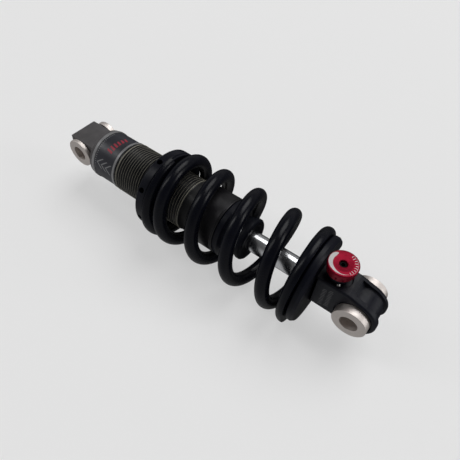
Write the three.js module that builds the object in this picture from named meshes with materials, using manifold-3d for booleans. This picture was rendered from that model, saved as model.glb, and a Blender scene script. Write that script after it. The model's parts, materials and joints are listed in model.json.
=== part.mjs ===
// Coil-over rear shock for a bicycle, 165 mm between the eyes, fully extended.
// Units are millimetres. The origin is the centre of the upper eye's bore. +X runs along the
// damper to the lower eye, +Y along the bores of both eyes, +Z up through the rebound knob.
import * as THREE from 'three';
import { mergeVertices } from 'three/addons/utils/BufferGeometryUtils.js';
import Module from 'manifold-3d';

// ---- Driving dimensions ------------------------------------------------------------------
const EYE_TO_EYE = 165;

// Mounting hardware, a pair of stepped reducers in each eye; the far one has the thicker head
const NEAR_FACE = 10.6;
const FAR_FACE = 11.4;
const REDUCER_R = 7.83;
const SPIGOT_R = 5.0;
const BOLT_R = 4.07;
const BUSH_OUT = 5.8;
const BUSH_IN = 5.2;
const EYE_BORE = 6.0;

// Upper eyelet: a square block with a round cap that closes the damper tube
const BLOCK_FREE = -8.0;
const BLOCK_HALF_Y = 8.2;
const BLOCK_HALF_Z = 7.45;
const CAP_START = 10.6;
const CAP_END = 13.0;
const CAP_R = 13.1;
const CHARGE_X = 9.1;

// Damper tube
const TUBE_START = 13.3;
const TUBE_END = 95.2;
const TUBE_BORE = 11.0;
const BAND_START = 14.9;
const BAND_END = 28.3;
const THREAD_START = 31.2;
const THREAD_END = 73.4;
const SLEEVE_START = 78.6;
const THREAD_R = 13.7;
const SLEEVE_R = 14.7;

// Spring and its seats
const SPRING_START = 59.7;
const SPRING_END = 140.7;
const SPRING_MEAN_R = 20.5;
const WIRE_R = 3.35;
const SPRING_TURNS = 5.45;
const CLOSED_PITCH = 6.75;
const ACTIVE_PITCH = 19.8;
const LAST_PITCH = 3.4;
const LAST_COIL_GROWTH = 0.7;
const COLLAR_START = 52.6;
const COLLAR_END = 58.0;
const COLLAR_R = 21.2;
const SPANNER_HOLES = 8;
const SEAT_START = 141.0;
const SEAT_END = 144.9;
const SEAT_R = 21.6;

// Shaft assembly
const SHAFT_R = 5.0;
const SHAFT_END = 147.5;
const SHAFT_TIP = 66.0;
const SHOULDER_X = 82.6;
const SHAFT_BORE = 1.8;

// Lower eyelet and rebound adjuster
const NECK_START = 145.3;
const EYE_HALF = 6.8;
const SPOT_FACE = 5.9;
const SPOT_FACE_R = 8.6;
const EYE_R = 10.2;
const NECK_TOP = 11.9;
const NECK_BOTTOM = -7.0;
const KNOB_X = 151.8;
const KNOB_BOTTOM = 14.4;
const KNOB_TOP = 20.76;
const KNOB_R = 6.65;
const PLATE_BOTTOM = 12.3;
const BALL_Z = 11.0;
const CAM_LOW = 1.4;
const CAM_RISE = 1.0;
const CAM_SWEEP = (300 * Math.PI) / 180;

// ---- Solids ------------------------------------------------------------------------------
const wasm = await Module();
wasm.setup();

// Vertices shared, empty triangles dropped and faces turned outward
function closed(geometry) {
  geometry.deleteAttribute('normal');
  geometry.deleteAttribute('uv');
  const merged = mergeVertices(geometry, 1e-4);
  const p = merged.attributes.position;
  const faces = [];
  const a = new THREE.Vector3();
  const b = new THREE.Vector3();
  const c = new THREE.Vector3();
  let volume = 0;
  for (let i = 0; i < merged.index.count; i += 3) {
    const [i0, i1, i2] = [0, 1, 2].map((k) => merged.index.getX(i + k));
    if (i0 === i1 || i1 === i2 || i2 === i0) continue;
    faces.push([i0, i1, i2]);
    a.fromBufferAttribute(p, i0);
    b.fromBufferAttribute(p, i1);
    c.fromBufferAttribute(p, i2);
    volume += a.dot(b.cross(c));
  }
  const outward = volume > 0 ? faces : faces.map(([i0, i1, i2]) => [i0, i2, i1]);
  merged.setIndex(outward.flat());
  return merged;
}

function toSolid(geometry) {
  const shape = closed(geometry);
  const vertProperties = new Float32Array(shape.attributes.position.array);
  const triVerts = new Uint32Array(shape.index.array);
  return new wasm.Manifold(new wasm.Mesh({ numProp: 3, vertProperties, triVerts }));
}

function toGeometry(solid) {
  const { vertProperties, triVerts } = solid.getMesh();
  const geometry = new THREE.BufferGeometry();
  geometry.setAttribute('position', new THREE.BufferAttribute(vertProperties, 3));
  geometry.setIndex(new THREE.BufferAttribute(triVerts, 1));
  return geometry;
}

// Profile of [distance along the axis, radius]; a profile that leaves the axis is a ring
function turned(axis, profile, sides = 40) {
  const points = profile.map(([along, radius]) => new THREE.Vector2(radius, along));
  if (profile[0][1] > 0) points.push(points[0].clone());
  const geometry = new THREE.LatheGeometry(points, sides);
  if (axis === 'x') geometry.rotateZ(-Math.PI / 2);
  if (axis === 'z') geometry.rotateX(Math.PI / 2);
  return closed(geometry);
}

function ring(axis, start, end, inner, outer, sides) {
  return turned(axis, [[start, inner], [start, outer], [end, outer], [end, inner]], sides);
}

function rod(axis, start, end, radius, sides = 24) {
  return turned(axis, [[start, 0], [start, radius], [end, radius], [end, 0]], sides);
}

function box(x0, x1, y0, y1, z0, z1) {
  const geometry = new THREE.BoxGeometry(x1 - x0, y1 - y0, z1 - z0);
  return geometry.translate((x0 + x1) / 2, (y0 + y1) / 2, (z0 + z1) / 2);
}

// A side profile drawn in X and Z, made solid across Y with broken edges
function slab(shape, half, bevel) {
  const geometry = new THREE.ExtrudeGeometry(shape, {
    depth: 2 * (half - bevel),
    bevelEnabled: bevel > 0,
    bevelThickness: bevel,
    bevelSize: bevel,
    bevelOffset: -bevel,
    bevelSegments: 1,
    curveSegments: 10,
  });
  geometry.translate(0, 0, -(half - bevel));
  return geometry.rotateX(Math.PI / 2);
}

function hexagon(acrossFlats) {
  const shape = new THREE.Shape();
  for (let i = 0; i < 6; i += 1) {
    const angle = (i * Math.PI) / 3;
    const r = acrossFlats / Math.sqrt(3);
    if (i === 0) shape.moveTo(r, 0);
    else shape.lineTo(r * Math.cos(angle), r * Math.sin(angle));
  }
  return shape;
}

// ---- Finishes ----------------------------------------------------------------------------
const finish = (color, roughness, metalness) => ({ color, roughness, metalness });
const BLACK_ANODISED = finish(0x26262a, 0.45, 0.6);
const DARK_ANODISED = finish(0x4b484a, 0.5, 0.6);
const PAINTED_STEEL = finish(0x121216, 0.25, 0.1);
const STEEL = finish(0xb4aea6, 0.35, 1.0);
const CHROME = finish(0xd8dadd, 0.08, 1.0);
const BRASS = finish(0xb08d57, 0.35, 1.0);
const RED_ANODISED = finish(0xa81830, 0.3, 0.7);
const RUBBER = finish(0x18181a, 0.8, 0.0);
const POLYMER = finish(0x2b2b2e, 0.6, 0.0);
const PRINT = finish(0x33353c, 0.4, 0.2);
const BARE_ALLOY = finish(0xc2c4c8, 0.4, 1.0);

function piece(name, geometry, look) {
  const mesh = new THREE.Mesh(geometry, new THREE.MeshStandardMaterial(look));
  mesh.name = name;
  return mesh;
}

// ---- Eye hardware ------------------------------------------------------------------------
function bush(name, half) {
  return piece(name, ring('y', -half, half, BUSH_IN, BUSH_OUT, 24), BARE_ALLOY);
}

// One stepped reducer on the +Y side of an eye; its head stands on the cheek
function reducer(name, cheek, face) {
  const head = cheek + 0.3;
  const profile = [
    [0.25, BOLT_R],
    [0.25, SPIGOT_R - 0.3],
    [0.55, SPIGOT_R],
    [head, SPIGOT_R],
    [head, REDUCER_R],
    [face - 0.35, REDUCER_R],
    [face, REDUCER_R - 0.35],
    [face, BOLT_R],
  ];
  return piece(name, turned('y', profile, 28), STEEL);
}

function hardware(prefix, cheek) {
  const group = new THREE.Group();
  const far = reducer(`${prefix}_reducer_far`, cheek, FAR_FACE);
  const near = reducer(`${prefix}_reducer_near`, cheek, NEAR_FACE);
  near.rotation.x = Math.PI;
  group.add(bush(`${prefix}_eye_bush`, cheek - 0.5), near, far);
  return group;
}

// ---- Upper eyelet ------------------------------------------------------------------------
// The block's outline with its two free corners rounded; grow moves it outward
function blockOutline(half, corner, grow) {
  const free = BLOCK_FREE - grow;
  const side = half + grow;
  const shape = new THREE.Shape();
  shape.moveTo(CAP_START + 1 + grow, -side);
  shape.lineTo(CAP_START + 1 + grow, side);
  shape.lineTo(free + corner, side);
  shape.absarc(free + corner, side - corner, corner, Math.PI / 2, Math.PI);
  shape.absarc(free + corner, corner - side, corner, Math.PI, 1.5 * Math.PI);
  return shape;
}

function upperEyelet() {
  const plan = slab(blockOutline(BLOCK_HALF_Y, 2.2, 0.1), 9, 0).rotateX(Math.PI / 2);
  const block = toSolid(slab(blockOutline(BLOCK_HALF_Z, 1.6, 0), BLOCK_HALF_Y, 0.4))
    .intersect(toSolid(plan));
  const cap = turned('x', [
    [CAP_START, 0],
    [CAP_START, CAP_R - 1.0],
    [CAP_START + 0.9, CAP_R],
    [CAP_END, CAP_R],
    [CAP_END, TUBE_BORE - 0.2],
    [16.0, TUBE_BORE - 0.2],
    [16.0, TUBE_BORE - 1.6],
    [18.0, TUBE_BORE - 1.6],
    [18.0, TUBE_BORE - 0.2],
    [20.0, TUBE_BORE - 0.2],
    [20.0, 0],
  ], 32);
  return block
    .add(toSolid(cap))
    .subtract(toSolid(rod('y', -9, 9, EYE_BORE, 28)))
    .subtract(toSolid(rod('z', -9, 1, 1.6, 12).translate(CHARGE_X, 0, 0)))
    .subtract(toSolid(rod('x', CHARGE_X, 22, 0.9, 8)));
}

function chargePlug() {
  const socket = new THREE.ExtrudeGeometry(hexagon(1.5), { depth: 2, bevelEnabled: false });
  socket.translate(0, 0, -7.2);
  const plug = toSolid(rod('z', -6.6, -2.6, 1.4)).subtract(toSolid(socket));
  return toGeometry(plug).translate(CHARGE_X, 0, 0);
}

// ---- Damper tube and the parts fixed to it --------------------------------------------------
function damperTube() {
  return turned('x', [
    [TUBE_START, TUBE_BORE],
    [TUBE_START, 13.3],
    [TUBE_START + 0.25, 13.55],
    [BAND_START, 13.55],
    [BAND_START, 12.5],
    [BAND_END, 12.5],
    [BAND_END, 13.55],
    [BAND_END + 1.1, 13.55],
    [BAND_END + 1.1, 13.1],
    [THREAD_START, 13.1],
    [THREAD_START + 0.6, THREAD_R],
    [THREAD_END, THREAD_R],
    [THREAD_END + 0.4, 13.4],
    [SLEEVE_START, 13.4],
    [SLEEVE_START + 0.6, SLEEVE_R],
    [TUBE_END - 0.4, SLEEVE_R],
    [TUBE_END, SLEEVE_R - 0.4],
    [TUBE_END, TUBE_BORE + 1.0],
    [86.0, TUBE_BORE + 1.0],
    [86.0, TUBE_BORE],
  ], 36);
}

function sealHead() {
  return turned('x', [
    [86.3, 6.6],
    [86.3, 11.8],
    [89.6, 11.8],
    [89.6, 10.4],
    [91.6, 10.4],
    [91.6, 11.8],
    [95.5, 11.8],
    [95.5, SLEEVE_R - 0.3],
    [95.8, SLEEVE_R],
    [98.4, SLEEVE_R],
    [99.9, SLEEVE_R - 1.8],
    [99.9, 7.9],
    [97.2, 7.9],
    [97.2, 5.6],
    [95.6, 5.6],
    [95.6, 8.2],
    [92.4, 8.2],
    [92.4, 6.6],
  ], 24);
}

function bottomOutBumper() {
  return turned('x', [
    [100.4, SHAFT_R + 0.15],
    [100.4, 9.0],
    [101.0, 9.6],
    [104.4, 10.0],
    [106.4, 10.9],
    [108.0, 10.9],
    [108.9, 10.1],
    [108.9, 8.2],
    [108.2, 7.4],
    [108.2, SHAFT_R + 0.15],
  ], 24);
}

// ---- Spring ----------------------------------------------------------------------------------
const ramp = (turn, from, to) => THREE.MathUtils.smoothstep(turn, from, to);

// Rise per turn: closed first turn, open active coils, closed last half turn
function pitchAt(turn) {
  const open = ramp(turn, 0.8, 1.5);
  const close = ramp(turn, 4.35, 5.15);
  const gain = (ACTIVE_PITCH - CLOSED_PITCH) * open;
  return CLOSED_PITCH + gain - (ACTIVE_PITCH - LAST_PITCH) * close;
}

class SpringLine extends THREE.Curve {
  constructor() {
    super();
    this.steps = 1200;
    this.rise = [0];
    for (let i = 0; i < this.steps; i += 1) {
      const turn = ((i + 0.5) / this.steps) * SPRING_TURNS;
      this.rise.push(this.rise[i] + (pitchAt(turn) * SPRING_TURNS) / this.steps);
    }
  }

  getPoint(t) {
    const at = Math.min(Math.max(t, 0), 1) * this.steps;
    const i = Math.min(Math.floor(at), this.steps - 1);
    const rise = THREE.MathUtils.lerp(this.rise[i], this.rise[i + 1], at - i);
    const turn = t * SPRING_TURNS;
    const angle = turn * 2 * Math.PI;
    const radius = SPRING_MEAN_R + LAST_COIL_GROWTH * ramp(turn, 4.9, 5.4);
    return new THREE.Vector3(
      SPRING_START - 0.6 + rise,
      -radius * Math.sin(angle),
      radius * Math.cos(angle),
    );
  }
}

// Round wire wound right-handed, both ends ground flat against their seats
function coilSpring() {
  const section = new THREE.Shape();
  section.absarc(0, 0, WIRE_R, 0, 2 * Math.PI);
  const wire = new THREE.ExtrudeGeometry(section, {
    steps: 100,
    curveSegments: 4,
    bevelEnabled: false,
    extrudePath: new SpringLine(),
  });
  return toSolid(wire)
    .subtract(toSolid(box(SPRING_START - 20, SPRING_START, -30, 30, -30, 30)))
    .subtract(toSolid(box(SPRING_END, SPRING_END + 20, -30, 30, -30, 30)));
}

function preloadCollar() {
  let solid = toSolid(turned('x', [
    [COLLAR_START, THREAD_R + 0.25],
    [COLLAR_START, COLLAR_R - 0.6],
    [COLLAR_START + 0.6, COLLAR_R],
    [COLLAR_END - 0.4, COLLAR_R],
    [COLLAR_END, COLLAR_R - 0.4],
    [COLLAR_END, THREAD_R + 0.25],
  ], 40));
  for (let i = 0; i < SPANNER_HOLES; i += 1) {
    const hole = rod('z', COLLAR_R - 4.2, COLLAR_R + 2, 1.4, 14).translate(55.1, 0, 0);
    hole.rotateX((i * 2 * Math.PI) / SPANNER_HOLES + 0.155);
    solid = solid.subtract(toSolid(hole));
  }
  return solid;
}

// Slotted disc that slips over the shaft sideways and sits on the lower eyelet's shoulder.
// A raised ring locates the spring, and the bumper enters the ring at full travel.
function lowerSpringSeat() {
  const disc = turned('x', [
    [138.6, 12.2],
    [138.6, 16.2],
    [139.0, 16.6],
    [SEAT_START, 16.6],
    [SEAT_START, SEAT_R - 0.5],
    [SEAT_START + 0.5, SEAT_R],
    [SEAT_END - 1.3, SEAT_R],
    [SEAT_END, SEAT_R - 1.0],
    [SEAT_END, SHAFT_R + 0.3],
    [142.0, SHAFT_R + 0.3],
    [142.0, 12.2],
  ], 40);
  const slot = box(137, 147, 0, 30, -SHAFT_R - 0.3, SHAFT_R + 0.3);
  return toSolid(disc).subtract(toSolid(slot));
}

// ---- Shaft assembly ----------------------------------------------------------------------
function shaft() {
  const bar = turned('x', [
    [SHAFT_TIP, SHAFT_BORE],
    [SHAFT_TIP, 2.7],
    [SHAFT_TIP + 0.3, 3.0],
    [SHOULDER_X, 3.0],
    [SHOULDER_X, SHAFT_R - 0.3],
    [SHOULDER_X + 0.3, SHAFT_R],
    [SHAFT_END - 0.5, SHAFT_R],
    [SHAFT_END, SHAFT_R - 0.5],
    [SHAFT_END, SHAFT_BORE],
  ], 24);
  return toSolid(bar).subtract(toSolid(rod('z', -8, 8, 1.0, 12).translate(86.8, 0, 0)));
}

function piston() {
  const ports = 4;
  let solid = toSolid(turned('x', [
    [73.4, 3.15],
    [73.4, 10.7],
    [74.8, 10.7],
    [74.8, 9.9],
    [78.6, 9.9],
    [78.6, 10.7],
    [80.0, 10.7],
    [80.0, 3.15],
  ], 24));
  for (let i = 0; i < ports; i += 1) {
    const port = rod('x', 72, 82, 1.1, 8).translate(0, 0, 6.4);
    port.rotateX((i * 2 * Math.PI) / ports);
    solid = solid.subtract(toSolid(port));
  }
  return solid;
}

function pistonNut() {
  const hex = new THREE.ExtrudeGeometry(hexagon(10), { depth: 3.4, bevelEnabled: false });
  hex.rotateY(Math.PI / 2);
  hex.translate(66.6, 0, 0);
  return toSolid(hex).subtract(toSolid(rod('x', 60, 75, 3.15, 24)));
}

function meteringRod() {
  return turned('x', [
    [70.0, 0],
    [73.0, 1.1],
    [76.0, 1.35],
    [KNOB_X - CAM_LOW - 0.3, 1.35],
    [KNOB_X - CAM_LOW - 0.3, 0],
  ], 16);
}

// ---- Lower eyelet ------------------------------------------------------------------------
function lowerEyelet() {
  const eye = EYE_TO_EYE;
  const side = new THREE.Shape();
  side.moveTo(NECK_START, NECK_TOP);
  side.lineTo(NECK_START, NECK_BOTTOM);
  side.lineTo(eye - 9.0, NECK_BOTTOM);
  side.absarc(eye, 0, EYE_R, -2.33, 1.3);
  side.lineTo(eye - 5.5, NECK_TOP);
  const cleared = new THREE.Shape();
  cleared.moveTo(eye - 3.7, 14);
  cleared.lineTo(eye - 3.7, 11.0);
  cleared.lineTo(eye - 1.8, 8.6);
  cleared.lineTo(eye - 1.8, -12);
  cleared.lineTo(eye + 12, -12);
  cleared.lineTo(eye + 12, 14);
  const waist = toSolid(slab(cleared, 4.2, 0).translate(0, 0.4, 0))
    .subtract(toSolid(rod('y', -5, 6, EYE_R - 1.1, 32).translate(eye, 0, 0)));
  return toSolid(slab(side, EYE_HALF, 1.0))
    .subtract(waist)
    .subtract(toSolid(rod('y', SPOT_FACE, 9, SPOT_FACE_R, 32).translate(eye, 0, 0)))
    .subtract(toSolid(rod('y', -9, -SPOT_FACE, SPOT_FACE_R, 32).translate(eye, 0, 0)))
    .subtract(toSolid(rod('y', -9, 9, EYE_BORE, 28).translate(eye, 0, 0)))
    .subtract(toSolid(rod('x', 140, SHAFT_END + 0.3, SHAFT_R + 0.15, 24)))
    .subtract(toSolid(rod('x', 140, KNOB_X, SHAFT_BORE, 12)))
    .subtract(toSolid(rod('z', -3.4, 20, 2.75, 20).translate(KNOB_X, 0, 0)))
    .subtract(toSolid(rod('z', NECK_TOP - 1.2, 20, 5.6, 24).translate(KNOB_X + 0.8, 0, 0)))
    .subtract(toSolid(rod('z', 5.2, 20, 1.25, 12).translate(KNOB_X + 2.1, -3.9, 0)));
}

// ---- Rebound adjuster, drawn about the knob's own axis -----------------------------------------
function reboundKnob() {
  const flutes = 10;
  let solid = toSolid(turned('z', [
    [KNOB_BOTTOM, 2.6],
    [KNOB_BOTTOM, 5.0],
    [16.0, 6.1],
    [18.8, KNOB_R - 0.1],
    [KNOB_TOP - 0.35, KNOB_R],
    [KNOB_TOP, KNOB_R - 0.35],
    [KNOB_TOP, 3.7],
    [KNOB_TOP - 0.4, 3.2],
    [KNOB_TOP - 0.4, 1.75],
    [17.3, 1.75],
    [17.3, 2.6],
  ], 30));
  for (let i = 0; i < flutes; i += 1) {
    const flute = rod('z', KNOB_BOTTOM - 1, 18.4, 1.0, 6).translate(6.9, 0, 0);
    flute.rotateZ(((i + 0.5) * 2 * Math.PI) / flutes);
    solid = solid.subtract(toSolid(flute));
  }
  return solid;
}

function knobScrew() {
  const socket = new THREE.ExtrudeGeometry(hexagon(1.6), { depth: 3, bevelEnabled: false });
  socket.translate(0, 0, 18.2);
  return toSolid(rod('z', 14.9, 19.7, 1.45, 20)).subtract(toSolid(socket));
}

// Stem with a snail cam at its foot: the cam's radius grows evenly as the knob turns
function reboundSpindle() {
  const cam = new THREE.Shape();
  const steps = 30;
  for (let i = 0; i <= steps; i += 1) {
    const swept = (i / steps) * CAM_SWEEP;
    const r = CAM_LOW + (CAM_RISE * swept) / CAM_SWEEP;
    const angle = Math.PI - swept;
    if (i === 0) cam.moveTo(r * Math.cos(angle), r * Math.sin(angle));
    else cam.lineTo(r * Math.cos(angle), r * Math.sin(angle));
  }
  const foot = new THREE.ExtrudeGeometry(cam, { depth: 6, bevelEnabled: false });
  foot.translate(0, 0, -3);
  return toSolid(foot)
    .add(toSolid(rod('z', 2.6, 17.0, 2.45, 20)))
    .subtract(toSolid(rod('z', 14.5, 18, 1.6, 20)));
}

class DetentLine extends THREE.Curve {
  getPoint(t) {
    const angle = t * 5 * 2 * Math.PI;
    return new THREE.Vector3(0.75 * Math.cos(angle), 0.75 * Math.sin(angle), 5.8 + 3.7 * t);
  }
}

function detentSpring() {
  const section = new THREE.Shape();
  section.absarc(0, 0, 0.2, 0, 2 * Math.PI);
  return closed(new THREE.ExtrudeGeometry(section, {
    steps: 32,
    curveSegments: 2,
    bevelEnabled: false,
    extrudePath: new DetentLine(),
  }));
}

// ---- Assembly ----------------------------------------------------------------------------
const group = new THREE.Group();

const damper = new THREE.Group();
damper.add(
  piece('upper_eyelet', toGeometry(upperEyelet()), DARK_ANODISED),
  piece('charge_plug', chargePlug(), STEEL),
  piece('cap_oring', ring('x', 16.2, 17.8, TUBE_BORE - 1.4, TUBE_BORE - 0.15, 24), RUBBER),
  piece('damper_tube', damperTube(), BLACK_ANODISED),
  piece('label_band', ring('x', BAND_START + 0.3, BAND_END - 0.3, 12.7, 13.2, 36), PRINT),
  piece('floating_piston', turned('x', [
    [31.5, 0],
    [31.5, 10.6],
    [33.6, 10.6],
    [33.6, 9.4],
    [35.6, 9.4],
    [35.6, 10.6],
    [38.0, 10.6],
    [38.0, 7.0],
    [35.0, 6.0],
    [35.0, 0],
  ], 24), BARE_ALLOY),
  piece('floating_piston_oring', ring('x', 33.8, 35.4, 9.6, 10.8, 24), RUBBER),
  piece('seal_head', toGeometry(toSolid(sealHead())), BLACK_ANODISED),
  piece('seal_head_oring', ring('x', 89.8, 91.4, 10.6, 11.85, 24), RUBBER),
  piece('shaft_bushing', ring('x', 86.8, 92.2, SHAFT_R + 0.1, 6.4, 24), BRASS),
  piece('shaft_seal', ring('x', 92.7, 95.3, SHAFT_R + 0.1, 8.0, 24), RUBBER),
  piece('wiper_seal', ring('x', 97.4, 99.7, SHAFT_R + 0.1, 7.7, 24), RUBBER),
  piece('bottom_out_bumper', bottomOutBumper(), RUBBER),
  piece('coil_spring', toGeometry(coilSpring()), PAINTED_STEEL),
  piece('preload_washer', ring('x', COLLAR_END + 0.3, 59.4, THREAD_R + 0.4, 21.0, 40), POLYMER),
  piece('preload_collar', toGeometry(preloadCollar()), BLACK_ANODISED),
  hardware('upper', BLOCK_HALF_Y),
);

const shaftAssembly = new THREE.Group();
shaftAssembly.add(
  piece('shaft', toGeometry(shaft()), CHROME),
  piece('piston', toGeometry(piston()), BARE_ALLOY),
  piece('piston_band', ring('x', 75.0, 78.4, 10.1, 10.8, 24), POLYMER),
  piece('compression_shims', turned('x', [
    [70.4, 3.15],
    [70.4, 5.2],
    [71.8, 6.6],
    [73.1, 8.2],
    [73.1, 3.15],
  ], 24), STEEL),
  piece('rebound_shims', turned('x', [
    [80.3, 3.15],
    [80.3, 8.2],
    [81.2, 7.0],
    [82.2, 5.4],
    [82.2, 3.15],
  ], 24), STEEL),
  piece('piston_nut', toGeometry(pistonNut()), STEEL),
  piece('top_out_bumper', ring('x', 83.2, 85.4, SHAFT_R + 0.15, 8.6, 24), RUBBER),
  piece('metering_rod', meteringRod(), STEEL),
  piece('lower_spring_seat', toGeometry(lowerSpringSeat()), BLACK_ANODISED),
  piece('lower_eyelet', toGeometry(lowerEyelet()), BLACK_ANODISED),
);

const adjuster = new THREE.Group();
adjuster.position.x = KNOB_X;
const ball = piece('detent_ball', closed(new THREE.SphereGeometry(1.0, 12, 8)), STEEL);
ball.position.set(2.1, -3.9, BALL_Z);
const ballSpring = piece('detent_spring', detentSpring(), STEEL);
ballSpring.position.set(2.1, -3.9, 0);
adjuster.add(
  piece('rebound_knob', toGeometry(reboundKnob()), RED_ANODISED),
  piece('knob_screw', toGeometry(knobScrew()), PAINTED_STEEL),
  piece('click_plate', ring('z', PLATE_BOTTOM, KNOB_BOTTOM - 0.3, 2.75, 4.9, 28), PAINTED_STEEL),
  piece('rebound_spindle', toGeometry(reboundSpindle()), BRASS),
  ball,
  ballSpring,
);

const lowerHardware = hardware('lower', SPOT_FACE);
lowerHardware.position.x = EYE_TO_EYE;
shaftAssembly.add(adjuster, lowerHardware);

group.add(damper, shaftAssembly);
export default group;
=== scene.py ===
import json
import math
import bmesh
import bpy
from mathutils import Matrix, Vector


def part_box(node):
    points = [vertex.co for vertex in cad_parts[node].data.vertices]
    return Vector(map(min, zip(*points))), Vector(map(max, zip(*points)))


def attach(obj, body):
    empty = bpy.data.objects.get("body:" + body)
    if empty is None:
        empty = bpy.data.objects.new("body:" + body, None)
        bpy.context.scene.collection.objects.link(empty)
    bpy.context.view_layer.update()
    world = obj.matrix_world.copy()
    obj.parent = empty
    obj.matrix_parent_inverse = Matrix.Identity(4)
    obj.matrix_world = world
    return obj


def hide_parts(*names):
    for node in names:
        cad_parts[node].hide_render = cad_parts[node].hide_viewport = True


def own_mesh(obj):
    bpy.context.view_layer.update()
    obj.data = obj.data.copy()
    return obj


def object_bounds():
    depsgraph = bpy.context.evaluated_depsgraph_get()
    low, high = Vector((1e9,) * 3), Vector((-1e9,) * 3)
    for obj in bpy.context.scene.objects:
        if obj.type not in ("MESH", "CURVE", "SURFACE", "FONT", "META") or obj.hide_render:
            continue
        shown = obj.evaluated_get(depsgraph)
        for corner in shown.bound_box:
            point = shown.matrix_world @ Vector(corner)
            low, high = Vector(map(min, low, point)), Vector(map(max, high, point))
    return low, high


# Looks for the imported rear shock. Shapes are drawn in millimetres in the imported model's frame.
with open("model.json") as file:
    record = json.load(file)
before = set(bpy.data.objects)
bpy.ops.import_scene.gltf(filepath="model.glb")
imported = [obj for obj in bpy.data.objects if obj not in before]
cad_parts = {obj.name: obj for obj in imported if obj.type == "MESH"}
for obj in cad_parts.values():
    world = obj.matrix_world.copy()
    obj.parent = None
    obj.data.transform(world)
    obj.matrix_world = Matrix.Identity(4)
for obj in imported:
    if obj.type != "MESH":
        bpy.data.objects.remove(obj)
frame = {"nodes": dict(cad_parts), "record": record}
cad_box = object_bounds()
MM = 0.001
TAU = 2 * math.pi


def span(node):
    """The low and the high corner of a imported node, in millimetres."""
    low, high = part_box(node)
    return Vector(low) / MM, Vector(high) / MM


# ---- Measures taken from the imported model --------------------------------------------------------
tube_low, tube_high = span("damper_tube")
spring_low, spring_high = span("coil_spring")
collar_low, collar_high = span("preload_collar")
seat_low, seat_high = span("lower_spring_seat")
knob_low, knob_high = span("rebound_knob")
shaft_low, shaft_high = span("shaft")
head_low, head_high = span("seal_head")
bumper_low, bumper_high = span("bottom_out_bumper")
upper_low = span("upper_eyelet")[0]
lower_high = span("lower_eyelet")[1]
near_low, near_high = span("lower_reducer_near")
EYE_X = round((near_low.x + near_high.x) / 2, 3)
KNOB_X = (knob_low.x + knob_high.x) / 2
SHAFT_R = shaft_high.z
TUBE_R = tube_high.z

# ---- Materials -----------------------------------------------------------------------------------


class Nodes:
    """Small helper that adds and links the nodes of one material."""

    def __init__(self, name):
        self.material = bpy.data.materials.new(name)
        self.material.use_nodes = True
        self.tree = self.material.node_tree
        self.shader = self.tree.nodes["Principled BSDF"]

    def add(self, kind, inputs=None, **settings):
        node = self.tree.nodes.new(kind)
        for key, value in settings.items():
            setattr(node, key, value)
        for key, value in (inputs or {}).items():
            self.put(node.inputs[key], value)
        return node

    def put(self, socket, value):
        if isinstance(value, bpy.types.NodeSocket):
            self.tree.links.new(value, socket)
        else:
            socket.default_value = value

    def math(self, operation, a, b=0.0):
        return self.add("ShaderNodeMath", {0: a, 1: b}, operation=operation).outputs[0]

    def scaled(self, value, low, high, to_low, to_high):
        inputs = {"Value": value, "From Min": low, "From Max": high}
        inputs |= {"To Min": to_low, "To Max": to_high}
        return self.add("ShaderNodeMapRange", inputs).outputs["Result"]

    def noise(self, vector, scale, detail=3.0, roughness=0.55):
        inputs = {"Vector": vector, "Scale": scale, "Detail": detail, "Roughness": roughness}
        return self.add("ShaderNodeTexNoise", inputs).outputs["Fac"]

    def mix(self, factor, a, b):
        node = self.add("ShaderNodeMix", data_type="RGBA")
        self.put(node.inputs["Factor"], factor)
        self.put(node.inputs[6], a)
        self.put(node.inputs[7], b)
        return node.outputs[2]


def turned_vector(nodes, axis, centre):
    """(distance from the axis, distance along it, 0), so that noise falls into a lathe's rings."""
    place = nodes.add("ShaderNodeTexCoord").outputs["Object"]
    moved = nodes.add("ShaderNodeVectorMath", {0: place, 1: centre}, operation="SUBTRACT").outputs[0]
    across = tuple(0.0 if i == axis else 1.0 for i in range(3))
    flat = nodes.add("ShaderNodeVectorMath", {0: moved, 1: across}, operation="MULTIPLY").outputs[0]
    radius = nodes.add("ShaderNodeVectorMath", {0: flat}, operation="LENGTH").outputs["Value"]
    parts = nodes.add("ShaderNodeSeparateXYZ", {0: moved}).outputs
    return nodes.add("ShaderNodeCombineXYZ", {0: radius, 1: parts[axis], 2: 0.0}).outputs[0]


PALE_GAIN, PALE_LIFT = 3, 0.06
# Pale, slightly yellow colour painted on a thread's crests as a highlight
CREST_HIGHLIGHT_COLOR = (0.3, 0.285, 0.23, 1.0)


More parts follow.
